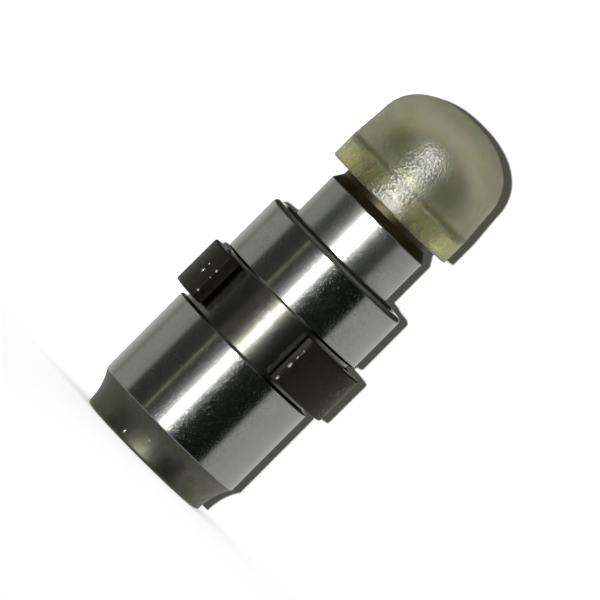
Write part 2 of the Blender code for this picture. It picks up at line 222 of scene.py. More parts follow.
def joined(*stretches: Array) -> Array:
    """The stretches as one outline, with no point twice in a row."""
    points = np.vstack(stretches)
    step = np.linalg.norm(np.diff(points, axis=0), axis=1)
    return points[np.concatenate([[True], step > SAME_POINT])]


def filleted(corners: Sequence[Corner], steps: int = 6, closed: bool = False) -> Array:
    """An outline (r, z) whose corners are rounded, each by its own radius.

    A corner between two sides is cut back by radius / tan(half its angle), and the arc that
    touches both sides there takes its place: start and end are carried to each other by
    (start sin((1 - s) w) + end sin(s w)) / sin w, seen from the arc's centre. One more point is
    held a little way out on each side, so that the flat faces shade flat.

    Args:
        corners: (r, z, radius) for each corner; radius 0 keeps it sharp.
        steps: Faces in each arc.
        closed: True if the last corner is followed by the first.

    Returns:
        The outline's points.
    """
    places = np.array([corner[:2] for corner in corners])
    count, stretches = len(places), []
    for i, (_, _, radius) in enumerate(corners):
        if radius == 0 or (not closed and i in (0, count - 1)):
            stretches.append(places[i:i + 1])
            continue
        back, on = places[i - 1] - places[i], places[(i + 1) % count] - places[i]
        back_length, on_length = np.linalg.norm(back), np.linalg.norm(on)
        back, on = back / back_length, on / on_length
        half = math.acos(float(np.clip(back @ on, -1, 1))) / 2
        cut = min(radius / math.tan(half), 0.45 * back_length, 0.45 * on_length)
        middle = back + on
        centre = places[i] + middle / np.linalg.norm(middle) * cut / math.cos(half)
        start, end = places[i] + back * cut - centre, places[i] + on * cut - centre
        sweep, share = math.pi - 2 * half, np.linspace(0, 1, steps + 1)[:, None]
        bend = start * np.sin((1 - share) * sweep) + end * np.sin(share * sweep)
        held = [places[i] + side * min(cut + HOLD, 0.48 * length)
                for side, length in ((back, back_length), (on, on_length))]
        stretches += [held[:1], centre + bend / math.sin(sweep), held[1:]]
    return joined(*stretches)


def superellipse_plug(half: tuple[float, float], power: float, reach: tuple[float, float],
                      height: float, direction: float) -> Surface:
    """A plug that runs outwards from the axis, to cut a hole or a window through a wall.

    Its section is across = a |cos t|^(2/power), up = b |sin t|^(2/power), with their signs.

    Args:
        half: Half its width and half its height.
        power: 2 for a round hole, more for a window with rounded corners.
        reach: Its two ends' distances from the axis.
        height: Height of its middle.
        direction: Angle about Z, from +X.

    Returns:
        The closed plug.
    """
    turn = np.linspace(0, 2 * np.pi, 64, endpoint=False)
    across = half[0] * np.sign(np.cos(turn)) * np.abs(np.cos(turn)) ** (2 / power)
    up = half[1] * np.sign(np.sin(turn)) * np.abs(np.sin(turn)) ** (2 / power) + height
    out = np.array(reach)[:, None]
    x = out * math.cos(direction) - across * math.sin(direction)
    y = out * math.sin(direction) + across * math.cos(direction)
    return carried(np.stack([x, y, np.broadcast_to(up, x.shape)], axis=-1))


def specks(places: Sequence[Speck]) -> Surface:
    """Small ellipsoids as one surface, one for each place.

    Each is r = size cos t, z = length sin t turned about Z, moved to (R cos a, R sin a, height).

    Args:
        places: (a in degrees, R, height, size, length) for each.

    Returns:
        The surfaces together.
    """
    points, faces, count = [], [], 0
    for direction, away, height, size, length in places:
        rise = np.linspace(-np.pi / 2, np.pi / 2, 11)
        outline = np.column_stack([size * np.cos(rise), length * np.sin(rise)])
        outline[[0, -1], 0] = 0.0
        speck = turned(outline, 16)
        turn = math.radians(direction)
        points.append(speck.points + [away * math.cos(turn), away * math.sin(turn), height])
        faces += [[corner + count for corner in face] for face in speck.faces]
        count += len(speck.points)
    return Surface(np.vstack(points), faces)


def bare_steel(name: str, places: Sequence[Speck], carrier: Carrier) -> bpy.types.Object:
    """Specks where the skin is nicked through to bright steel, riding on a CAD body.

    Args:
        name: Name of the object.
        places: Where they sit and how large they are, as for specks.
        carrier: The body that carries them.

    Returns:
        The object.
    """
    nicks = new_object(name, specks(places))
    nicks.data.materials.append(DrawnSteel(name + "_steel", (0.80, 0.80, 0.78), 0.30).material())
    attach(nicks, carrier.value)
    log.info("%s: %d specks", name, len(places))
    return nicks


def new_object(name: str, surface: Surface) -> bpy.types.Object:
    """An object at the origin with the surface as its mesh, smooth between sharp edges."""
    mesh = bpy.data.meshes.new(name)
    mesh.from_pydata(surface.points, [], surface.faces)
    mesh.validate()
    mesh.shade_smooth()
    mesh.set_sharp_from_angle(angle=SHARP_ANGLE)
    obj = bpy.data.objects.new(name, mesh)
    bpy.context.scene.collection.objects.link(obj)
    return obj


def pierce(obj: bpy.types.Object, plug: Surface) -> None:
    """Cuts a plug out of a piece and keeps the result as its mesh."""
    cutter = new_object("plug", plug)
    boolean = obj.modifiers.new("pierce", "BOOLEAN")
    boolean.operation, boolean.object = "DIFFERENCE", cutter
    bpy.context.view_layer.update()
    graph = bpy.context.evaluated_depsgraph_get()
    mesh = bpy.data.meshes.new_from_object(obj.evaluated_get(graph))
    obj.modifiers.clear()
    mesh.name = obj.name
    mesh.shade_smooth()
    mesh.set_sharp_from_angle(angle=SHARP_ANGLE)
    obj.data = mesh
    bpy.data.objects.remove(cutter)


def fit(obj: bpy.types.Object, finish: bpy.types.Material, carrier: Carrier,
        node: str) -> bpy.types.Object:
    """Dresses a piece, hangs it on its body and lets it stand for its CAD node.

    Args:
        obj: The finished piece.
        finish: Its material.
        carrier: The body that it rides on.
        node: The CAD node that it replaces.

    Returns:
        The piece.
    """
    obj.data.materials.clear()
    obj.data.materials.append(finish)
    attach(obj, carrier.value)
    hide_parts(node)
    log.info("%s: %d faces, rides on %s", obj.name, len(obj.data.polygons), carrier.value)
    return obj


@dataclass
class Bench:
    """A node tree, with short ways to place nodes and join them."""

    tree: bpy.types.NodeTree

    def put(self, kind: str, inputs: dict[str | int, Any] | None = None,
            **settings: Any) -> bpy.types.Node:
        """Places a node.

        Args:
            kind: The node's type, without its ShaderNode prefix.
            inputs: Sockets to join or values to set, by input name or number.
            **settings: The node's own properties.

        Returns:
            The node.
        """
        node = self.tree.nodes.new("ShaderNode" + kind)
        for name, value in settings.items():
            setattr(node, name, value)
        for key, value in (inputs or {}).items():
            if isinstance(value, bpy.types.NodeSocket):
                self.tree.links.new(value, node.inputs[key])
            else:
                node.inputs[key].default_value = value
        return node

    def math(self, operation: str, *values: Any, clamp: bool = False) -> bpy.types.NodeSocket:
        """The result of a Math node on up to three values."""
        node = self.put("Math", dict(enumerate(values)), operation=operation, use_clamp=clamp)
        return node.outputs[0]

    def mix(self, share: Any, low: Any, high: Any) -> bpy.types.NodeSocket:
        """A value between two values."""
        node = self.put("Mix", {0: share, 2: low, 3: high}, data_type="FLOAT")
        return node.outputs[0]

    def blend(self, share: Any, low: Any, high: Any) -> bpy.types.NodeSocket:
        """A colour between two colours."""
        ends = [(*value, 1.0) if isinstance(value, tuple) else value for value in (low, high)]
        node = self.put("Mix", {0: share, 6: ends[0], 7: ends[1]}, data_type="RGBA")
        return node.outputs[2]

    def step(self, value: Any, low: Any, high: Any) -> bpy.types.NodeSocket:
        """0 below low, 1 above high and a smooth rise between."""
        node = self.put("MapRange", {0: value, 1: low, 2: high}, interpolation_type="SMOOTHSTEP")
        return node.outputs[0]

    def noise(self, vector: Any, scale: Any, detail: float = 2.0) -> bpy.types.NodeSocket:
        """A noise value over a vector."""
        node = self.put("TexNoise", {"Vector": vector, "Scale": scale, "Detail": detail})
        return node.outputs["Factor" if "Factor" in node.outputs else "Fac"]


def effect(name: str, inputs: dict[str, Any], outputs: Sequence[str]) -> tuple[Bench, Any, Any]:
    """A new shader node group with named sockets.

    Args:
        name: The group's name.
        inputs: Each input's default: a number, or None for a vector.
        outputs: Names of the outputs, each one a value.

    Returns:
        Its bench, its input node and its output node.
    """
    tree = bpy.data.node_groups.new(name, "ShaderNodeTree")
    for label, default in inputs.items():
        kind = "NodeSocketVector" if default is None else "NodeSocketFloat"
        socket = tree.interface.new_socket(label, in_out="INPUT", socket_type=kind)
        if default is not None:
            socket.default_value = default
    for label in outputs:
        tree.interface.new_socket(label, in_out="OUTPUT", socket_type="NodeSocketFloat")
    return Bench(tree), tree.nodes.new("NodeGroupInput"), tree.nodes.new("NodeGroupOutput")


def grinding_marks() -> bpy.types.NodeTree:
    """Fine marks round the axis and scattered pits, as a height, and slow stains, as a shade."""
    bench, source, sink = effect(
        "grinding_marks",
        {"Vector": None, "Marks": 9000.0, "Grit": 14000.0, "Grit Share": 0.5},
        ("Height", "Shade"))
    stretch = bench.put("Mapping", {"Vector": source.outputs["Vector"]})
    stretch.inputs["Scale"].default_value = (0.03, 0.03, 1.0)
    marks = bench.noise(stretch.outputs[0], source.outputs["Marks"], 3.0)
    cells = bench.put("TexVoronoi", {"Vector": source.outputs["Vector"],
                                     "Scale": source.outputs["Grit"]}).outputs["Distance"]
    patch = bench.math("MULTIPLY", source.outputs["Grit"], 1.4)
    kept = bench.step(bench.noise(source.outputs["Vector"], patch, 1.0), 0.46, 0.56)
    pits = bench.math("MULTIPLY", bench.math("SUBTRACT", 1.0, bench.step(cells, 0.1, 0.5)), kept)
    height = bench.mix(source.outputs["Grit Share"], marks, bench.math("SUBTRACT", 1.0, pits))
    stains = bench.noise(source.outputs["Vector"], 420.0, 3.0)
    bench.tree.links.new(height, sink.inputs["Height"])
    bench.tree.links.new(bench.step(stains, 0.3, 0.75), sink.inputs["Shade"])
    return bench.tree


def ground_bands() -> bpy.types.NodeTree:
    """A mask of what the grinding wheel reached.

    It is 1 where the distance from the axis is at least Radius, or the height is above Top, and
    falls to 0 within Blend.
    """
    bench, source, sink = effect(
        "ground_bands", {"Vector": None, "Radius": 0.007, "Top": 1.0, "Blend": 4e-5}, ("Mask",))
    parts = bench.put("SeparateXYZ", {0: source.outputs["Vector"]}).outputs
    across = bench.math("SQRT", bench.math("ADD", bench.math("MULTIPLY", parts[0], parts[0]),
                                           bench.math("MULTIPLY", parts[1], parts[1])))
    blend = source.outputs["Blend"]
    radius, top = source.outputs["Radius"], source.outputs["Top"]
    reached = bench.step(across, bench.math("SUBTRACT", radius, blend), radius)
    polished = bench.step(parts[2], bench.math("SUBTRACT", top, blend), top)
    mask = bench.math("MAXIMUM", reached, polished)
    bench.tree.links.new(mask, sink.inputs["Mask"])
    return bench.tree


def oil_film() -> bpy.types.NodeTree:
    """A mask of smeared oil: a noise cut off at a level that leaves Amount of the surface wet."""
    bench, source, sink = effect(
        "oil_film", {"Vector": None, "Scale": 500.0, "Amount": 0.5}, ("Mask",))
    smear = bench.noise(source.outputs["Vector"], source.outputs["Scale"], 4.0)
    level = bench.math("SUBTRACT", 0.85, bench.math("MULTIPLY", source.outputs["Amount"], 0.6))
    mask = bench.step(smear, bench.math("SUBTRACT", level, 0.08), bench.math("ADD", level, 0.08))
    bench.tree.links.new(mask, sink.inputs["Mask"])
    return bench.tree


def stains() -> bpy.types.NodeTree:
    """A mask of soft stains: a coarse noise and a finer one, averaged and cut with soft edges."""
    bench, source, sink = effect("stains", {"Vector": None, "Scale": 500.0}, ("Mask",))
    vector, scale = source.outputs["Vector"], source.outputs["Scale"]
    coarse = bench.noise(vector, scale, 1.0)
    fine = bench.noise(vector, bench.math("MULTIPLY", scale, 3.1), 1.0)
    mask = bench.step(bench.mix(0.35, coarse, fine), 0.42, 0.58)
    bench.tree.links.new(mask, sink.inputs["Mask"])
    return bench.tree


class Effects:
    """The node groups that more than one finish uses, each made once."""

    made: dict[str, bpy.types.NodeTree] = {}

    @classmethod
    def get(cls, maker: Any) -> bpy.types.NodeTree:
        """The group that a function makes."""
        if maker.__name__ not in cls.made:
            cls.made[maker.__name__] = maker()
        return cls.made[maker.__name__]


def place_group(bench: Bench, maker: Any, vector: Any, **values: float) -> bpy.types.Node:
    """Places an effect in a material, with its own values by input name (Grit_Share for spaces)."""
    inputs = {"Vector": vector, **{key.replace("_", " "): value for key, value in values.items()}}
    node = bench.tree.nodes.new("ShaderNodeGroup")
    node.node_tree = Effects.get(maker)
    for key, value in inputs.items():
        if isinstance(value, bpy.types.NodeSocket):
            bench.tree.links.new(value, node.inputs[key])
        else:
            node.inputs[key].default_value = value
    return node


def new_material(name: str) -> tuple[bpy.types.Material, Bench, bpy.types.Node, Any]:
    """A material with its bench, its Principled shader and its Object coordinates."""
    made = bpy.data.materials.new(name)
    made.use_nodes = True
    bench = Bench(made.node_tree)
    shader = made.node_tree.nodes["Principled BSDF"]
    vector = bench.put("TexCoord").outputs["Object"]
    return made, bench, shader, vector


@dataclass(frozen=True)
class TurnedSteel:
    """Hardened steel: bright where it was ground, duller in the groove, dull at the rough end."""

    name: str
    ground_radius: float
    polished_above: float = 1.0
    end_top: float = -1.0
    bright: Colour = (0.50, 0.505, 0.485)
    skin: Colour = (0.30, 0.296, 0.264)
    end: Colour = (0.225, 0.226, 0.186)
    bright_roughness: float = 0.13
    skin_roughness: float = 0.22
    end_roughness: float = 0.38
    marks: float = 5200.0
    grit: float = 7500.0
    grit_share: float = 0.7
    relief: float = 7e-6
    stain: Colour = (0.74, 0.75, 0.68)

    def material(self) -> bpy.types.Material:
        """Builds the material."""
        made, bench, shader, vector = new_material(self.name)
        bands = place_group(bench, ground_bands, vector, Radius=self.ground_radius,
                            Top=self.polished_above).outputs["Mask"]
        surface = place_group(bench, grinding_marks, vector, Marks=self.marks, Grit=self.grit,
                              Grit_Share=self.grit_share)
        shade = surface.outputs["Shade"]
        height = bench.put("SeparateXYZ", {0: vector}).outputs[2]
        above = bench.step(height, self.end_top - 1e-4, self.end_top + 1e-4)
        stained = place_group(bench, stains, vector, Scale=700.0).outputs["Mask"]
        zones = [bench.blend(shade, tuple(share * c for c in colour), colour) for share, colour
                 in ((0.8, self.end), (0.8, self.skin), (0.93, self.bright))]
        plain = bench.blend(above, zones[0], zones[1])
        marked = bench.blend(above, *(tuple(c * s for c, s in zip(colour, self.stain))
                                      for colour in (self.end, self.skin)))
        links = made.node_tree.links
        links.new(bench.blend(bands, bench.blend(stained, plain, marked), zones[2]),
                  shader.inputs["Base Color"])
        dull = bench.mix(above, self.end_roughness, self.skin_roughness)
        rough = bench.mix(bands, dull, self.bright_roughness)
        links.new(bench.math("ADD", rough, bench.mix(shade, 0.03, 0.0)),
                  shader.inputs["Roughness"])
        shader.inputs["Metallic"].default_value = 1.0
        bump = bench.put("Bump", {"Strength": 1.0, "Distance": self.relief,
                                  "Height": surface.outputs["Height"]})
        links.new(bump.outputs[0], shader.inputs["Normal"])
        return made


@dataclass(frozen=True)
class OiledSteel:
    """Dark heat-treated spring steel under a thin, smeared film of oil."""

    name: str
    dry: Colour = (0.036, 0.032, 0.025)
    wet: Colour = (0.014, 0.012, 0.009)
    roughness: float = 0.52
    coat: float = 0.65

    def material(self) -> bpy.types.Material:
        """Builds the material."""
        made, bench, shader, vector = new_material(self.name)
        wet = place_group(bench, oil_film, vector, Scale=2600.0, Amount=0.34).outputs["Mask"]
        surface = place_group(bench, grinding_marks, vector, Marks=5000.0, Grit=9000.0)
        links = made.node_tree.links
        links.new(bench.blend(wet, self.dry, self.wet), shader.inputs["Base Color"])
        links.new(bench.mix(wet, self.roughness, self.roughness - 0.12), shader.inputs["Roughness"])
        links.new(bench.mix(wet, 0.1, self.coat), shader.inputs["Coat Weight"])
        shader.inputs["Coat Roughness"].default_value = 0.12
        shader.inputs["Metallic"].default_value = 0.85
        bump = bench.put("Bump", {"Strength": 1.0, "Distance": 8e-6,
                                  "Height": surface.outputs["Height"]})
        links.new(bump.outputs[0], shader.inputs["Normal"])
        return made


@dataclass(frozen=True)
class DrawnSteel:
    """Plain drawn wire or pressed sheet, lightly oiled."""

    name: str
    colour: Colour = (0.34, 0.34, 0.33)
    roughness: float = 0.27

    def material(self) -> bpy.types.Material:
        """Builds the material."""
        made, bench, shader, vector = new_material(self.name)
        surface = place_group(bench, grinding_marks, vector, Marks=4000.0, Grit=20000.0)
        shade = surface.outputs["Shade"]
        links = made.node_tree.links
        links.new(bench.blend(shade, tuple(0.8 * c for c in self.colour), self.colour),
                  shader.inputs["Base Color"])
        links.new(bench.mix(shade, self.roughness + 0.1, self.roughness),
                  shader.inputs["Roughness"])
        shader.inputs["Metallic"].default_value = 1.0
        bump = bench.put("Bump", {"Strength": 1.0, "Distance": 4e-6,
                                  "Height": surface.outputs["Height"]})
        links.new(bump.outputs[0], shader.inputs["Normal"])
        return made


@dataclass(frozen=True)
class NaturalPlastic:
    """Unpigmented plastic: it lets the steel under it show, blurred, and sparkles in the light."""

    name: str
    skirt_top: float
    crown_base: float
    crown_top: float
    edge: Colour = (0.76, 0.77, 0.62)
    crown: Colour = (1.0, 0.94, 0.84)
    side: Colour = (0.66, 0.665, 0.52)
    skirt: Colour = (1.0, 0.96, 0.58)
    stain: Colour = (0.86, 0.89, 0.74)
    # Painted shadow: colour of the dark band that stands for the step's shade at the skirt's top.
    ridge_painted_shadow: Colour = (0.40, 0.41, 0.20)
    roughness: float = 0.31
    skirt_roughness: float = 0.27
    grain: float = 7000.0
    beads: float = 4600.0
    relief: float = 4.5e-5

    def material(self) -> bpy.types.Material:
        """Builds the material."""
        made, bench, shader, vector = new_material(self.name)
        height = bench.put("SeparateXYZ", {0: vector}).outputs[2]
        cloud = place_group(bench, stains, vector, Scale=260.0).outputs["Mask"]
        tones = [bench.blend(cloud, tuple(c * s for c, s in zip(colour, self.stain)), colour)
                 for colour in (self.skirt, self.side, self.crown, self.edge)]
        risen = bench.step(height, self.skirt_top - 4e-4, self.skirt_top + 2e-4)
        plain = bench.blend(risen, tones[0], tones[1])
        # Painted shadow: a dark olive band along the step at the skirt's top stands for the shade and refraction of
        # that step.
        under = bench.step(height, self.skirt_top - 3.5e-4, self.skirt_top - 1.0e-4)
        over = bench.step(height, self.skirt_top + 0.5e-4, self.skirt_top + 3.0e-4)
        lower = bench.blend(bench.math("SUBTRACT", under, over), plain, self.ridge_painted_shadow)
        upper = bench.blend(bench.step(height, self.crown_base - 3e-4, self.crown_base + 1.6e-3),
                            lower, tones[2])
        top = bench.step(height, self.crown_top - 1.8e-3, self.crown_top - 0.7e-3)
        links = made.node_tree.links
        links.new(bench.blend(top, upper, tones[3]), shader.inputs["Base Color"])
        gloss = bench.mix(risen, self.skirt_roughness, self.roughness)
        links.new(bench.math("ADD", gloss, bench.mix(cloud, 0.02, 0.0)),
                  shader.inputs["Roughness"])
        shader.inputs["Transmission Weight"].default_value = 0.93
        shader.inputs["IOR"].default_value = 1.5
        cells = bench.put("TexVoronoi", {"Vector": vector, "Scale": self.beads})
        rounds = bench.math("POWER", cells.outputs["Distance"], 2.0)
        grain = bench.math("MULTIPLY", bench.noise(vector, self.grain, 2.0), 0.7)
        height = bench.math("ADD", grain, bench.math("MULTIPLY", rounds, 0.55))
        bump = bench.put("Bump", {"Strength": 1.0, "Distance": self.relief, "Height": height})
        links.new(bump.outputs[0], shader.inputs["Normal"])
        return made


def reach(node: str) -> tuple[float, float, float]:
    """A CAD node's widest radius in X, its lowest and its highest point."""
    low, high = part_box(node)
    return high.x, low.z, high.z


@dataclass
class Housing:
    """The ground body, the ring in its mouth and the return spring under the piston."""

    wall: float = 1.5e-3
    floor: float = 2.2e-3
    top_round: float = 0.7e-3
    bore_fillet: float = 0.6e-3
    end_step: float = 0.85e-3
    end_round: float = 0.3e-3
    taper_height: float = 3.1e-3
    upper_land: float = 5.44e-3
    groove_width: float = 5.25e-3
    groove_depth: float = 0.5e-3
    groove_chamfer: float = 0.15e-3
    feed_hole_radius: float = 0.8e-3
    feed_direction: float = math.pi / 2
    ring_seat: float = 0.43e-3
    ring_height: float = 1.5e-3
    ring_chamfer: float = 0.12e-3
    spring_wire: float = 0.7e-3
    spring_turns: float = 3.5
    spring_keep: float = 0.52
    nicks: tuple[Speck, ...] = ((-112.9, 6.12e-3, 0.70e-3, 0.15e-3, 0.24e-3),
                                (-94.2, 6.26e-3, 1.55e-3, 0.11e-3, 0.12e-3))

    def __post_init__(self) -> None:
        """Reads the body's and the ring's place from the frame."""
        self.radius, _, self.height = reach("body")
        self.ring_radius, self.ring_low, self.ring_high = reach("mouth_retaining_ring")
        self.bore = self.radius - self.wall
        self.groove_high = self.height - self.upper_land
        self.groove_low = self.groove_high - self.groove_width

    def taper(self, steps: int = 14) -> Array:
        """The hollow taper above the end, bottom first.

        It is an arc that leaves the end upright: r = low + R (1 - cos a), z = z0 + R sin a, with
        R = (rise^2 + growth^2) / (2 growth), so that it meets the land's full radius.
        """
        rise, low = self.taper_height - self.end_round, self.radius - self.end_step
        bend = (rise ** 2 + self.end_step ** 2) / (2 * self.end_step)
        angle = np.linspace(0, math.acos(1 - self.end_step / bend), steps + 1)
        return np.column_stack([low + bend * (1 - np.cos(angle)),
                                self.end_round + bend * np.sin(angle)])

    def outline(self) -> Array:
        """From the middle of the end face up the outside, over the mouth and down the bore."""
        end = self.radius - self.end_step
        groove, chamfer = self.radius - self.groove_depth, self.groove_chamfer
        seat = self.bore + self.ring_seat
        edge = 0.04e-3
        foot = filleted([(0, 0, 0), (end, 0, self.end_round), (end, 2 * self.end_round, 0)])
        outside = filleted([
            (self.radius, self.taper_height, 0),
            (self.radius, self.groove_low - chamfer, edge),
            (self.radius - chamfer, self.groove_low, edge),
            (groove, self.groove_low, 0.1e-3),
            (groove, (self.groove_low + self.groove_high) / 2, 0),
            (groove, self.groove_high, 0.1e-3),
            (self.radius - chamfer, self.groove_high, edge),
            (self.radius, self.groove_high + chamfer, edge),
            (self.radius, self.height, self.top_round),
            (seat + chamfer, self.height, edge),
            (seat, self.height - chamfer, edge),
            (seat, self.ring_low - HOLD, 0),
            (self.bore, self.ring_low - HOLD, edge),
            (self.bore, self.floor, self.bore_fillet),
            (0, self.floor, 0),
        ], steps=8)
        return joined(foot[:-1], self.taper(), outside)

    def build_body(self) -> bpy.types.Object:
        """The cup, turned, with its feed hole through the groove's floor."""
        body = new_object("lifter_body", turned(self.outline(), OUTER_FACETS))
        hole = self.feed_hole_radius
        middle = (self.groove_low + self.groove_high) / 2
        pierce(body, superellipse_plug((hole, hole), 2.0, (self.bore - hole, self.radius), middle,
                                       self.feed_direction))
        steel = TurnedSteel("body_steel", ground_radius=self.radius - 2e-5,
                            polished_above=self.height - self.top_round,
                            end_top=self.taper_height)
        return fit(body, steel.material(), Carrier.HOUSING, "body")

    def build_nicks(self) -> bpy.types.Object:
        """The nicks that show bright on the taper."""
        return bare_steel("taper_nicks", self.nicks, Carrier.HOUSING)

    def build_ring(self) -> bpy.types.Object:
        """The retaining ring, its outer edge rolled over the mouth."""
        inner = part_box("plunger")[1].x - 0.37e-3
        low, high, edge = self.ring_low, self.ring_high, self.ring_chamfer
        outline = filleted([
            (self.ring_radius, low, edge),
            (self.ring_radius, high, 3.5 * edge),
            (inner, high, edge),
            (inner, low, edge),
        ], closed=True)
        ring = new_object("mouth_ring", turned(outline, OUTER_FACETS, closed=True))
        return fit(ring, OiledSteel("ring_steel").material(), Carrier.HOUSING,
                   "mouth_retaining_ring")

    def build_spring(self) -> bpy.types.Object:
        """The return spring."""
        radius, low, high = reach("plunger_return_spring")
        coil = Coil(self.spring_wire, radius - self.spring_wire / 2, self.spring_turns, low, high)
        spring = new_object("return_spring", coil.surface())
        fit(spring, DrawnSteel("return_spring_steel").material(), Carrier.HOUSING,
            "plunger_return_spring")
        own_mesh(spring)
        return spring


@dataclass
class Coil:
    """A compression spring with closed ends."""

    wire: float
    radius: float
    turns: float
    low: float
    high: float
    end_turns: float = 0.75
    end_gap: float = 5e-5
    steps_per_turn: int = 72
    around: int = 20

    def surface(self) -> Surface:
        """The wire, carried along a helix whose pitch is tight at both ends.

        The path is (R cos a, R sin a, lift(a)); lift rises by one wire a turn in the end turns
        and evenly between. The section at each step is a circle on the outward direction and
        the axis, and shrinks to nothing over a quarter circle at each end.
        """
        count = round(self.turns * self.steps_per_turn)
        turn = np.linspace(0, self.turns, count + 1)
        rise = self.end_turns * (self.wire + self.end_gap)
        height = self.high - self.low - self.wire
        stops = [0, self.end_turns, self.turns - self.end_turns, self.turns]
        lift = np.interp(turn, stops, [0, rise, height - rise, height])
        smooth = np.ones(9) / 9
        lift = np.convolve(np.pad(lift, 4, mode="edge"), smooth, mode="valid")
        angle = 2 * np.pi * turn
        step = 2 * np.pi * self.radius / self.steps_per_turn
        along = np.minimum(np.arange(count + 1), np.arange(count + 1)[::-1]) * step
        round_off = np.clip(1 - along / (self.wire / 2), 0, 1)
        size = self.wire / 2 * np.sqrt(np.clip(1 - round_off ** 2, 0.02, 1))[:, None]
        section = np.linspace(0, 2 * np.pi, self.around, endpoint=False)
        out = self.radius + size * np.cos(section)
        up = (self.low + self.wire / 2 + lift)[:, None] + size * np.sin(section)
        return carried(np.stack([out * np.cos(angle)[:, None], out * np.sin(angle)[:, None], up],
                                axis=-1))


@dataclass
class SpringClip:
    """The open clip, loose in the oil groove, with its gap towards the viewer."""

    wall: float = 1.28e-3
    edge: float = 0.16e-3
    end_edge: float = 0.1e-3
    gap: float = math.radians(73.7)
    gap_direction: float = math.radians(-103.5)
    lean: float = math.radians(0.4)
    nicks: tuple[Speck, ...] = (
        (-150.6, 8.03e-3, 14.80e-3, 0.11e-3, 0.13e-3), (-150.6, 8.03e-3, 14.10e-3, 0.12e-3, 0.26e-3),
        (-140.6, 8.01e-3, 14.82e-3, 0.11e-3, 0.13e-3), (-140.6, 8.01e-3, 14.12e-3, 0.07e-3, 0.10e-3),
        (-140.6, 8.01e-3, 12.75e-3, 0.12e-3, 0.14e-3), (-66.3, 8.01e-3, 15.30e-3, 0.06e-3, 0.10e-3),
        (-66.3, 8.01e-3, 14.60e-3, 0.08e-3, 0.15e-3), (-66.3, 8.01e-3, 13.75e-3, 0.12e-3, 0.26e-3),
        (-66.3, 8.01e-3, 12.35e-3, 0.12e-3, 0.20e-3))

    def sections(self) -> Array:
        """Rounded rectangles carried round the groove, as (stations, points, 3).

        A section's point is the corner's centre plus edge (cos t, sin t). At both ends the
        rectangle draws in by e (1 - sqrt(1 - s^2)) over a length e, which rounds the end's edges.
        """
        outer, low, high = reach("retaining_clip")
        middle, half_wall = outer - self.wall / 2, self.wall / 2
        half_height = (high - low) / 2
        stations = 220
        start = self.gap_direction + self.gap / 2
        sweep = 2 * np.pi - self.gap
        ends = self.end_edge / middle * (1 - np.cos(np.linspace(0, np.pi / 2, 6)))
        angle = np.concatenate([ends, np.linspace(ends[-1], sweep - ends[-1], stations)[1:-1],
                                sweep - ends[::-1]])
        into = np.clip(np.minimum(angle, sweep - angle) * middle / self.end_edge, 0, 1)
        inset = self.end_edge * (1 - np.sqrt(np.clip(1 - (1 - into) ** 2, 0, 1)))
        corner = np.repeat([[1, 1], [-1, 1], [-1, -1], [1, -1]], 6, axis=0)
        turn = np.concatenate([np.linspace(q, q + 0.5, 6) for q in (0, 0.5, 1, 1.5)]) * np.pi
        size_r = (half_wall - self.edge - inset)[:, None]
        size_z = (half_height - self.edge - inset)[:, None]
        out = middle + corner[:, 0] * size_r + self.edge * np.cos(turn)
        up = (low + high) / 2 + corner[:, 1] * size_z + self.edge * np.sin(turn)
        around = (start + angle)[:, None]
        return np.stack([out * np.cos(around), out * np.sin(around), up], axis=-1)

    def build(self) -> bpy.types.Object:
        """The clip, leaning a little in its groove as it hangs."""
        stations = self.sections()
        _, low, high = reach("retaining_clip")
        centre = np.array([0.0, 0.0, (low + high) / 2])
        lean = np.array(Matrix.Rotation(self.lean, 3, "Y"))
        clip = new_object("spring_clip", carried((stations - centre) @ lean.T + centre))
        return fit(clip, OiledSteel("clip_steel").material(), Carrier.CLIP,
                   "retaining_clip")

    def build_nicks(self) -> bpy.types.Object:
        """The nicks that show bright along the clip's ends."""
        return bare_steel("clip_nicks", self.nicks, Carrier.CLIP)


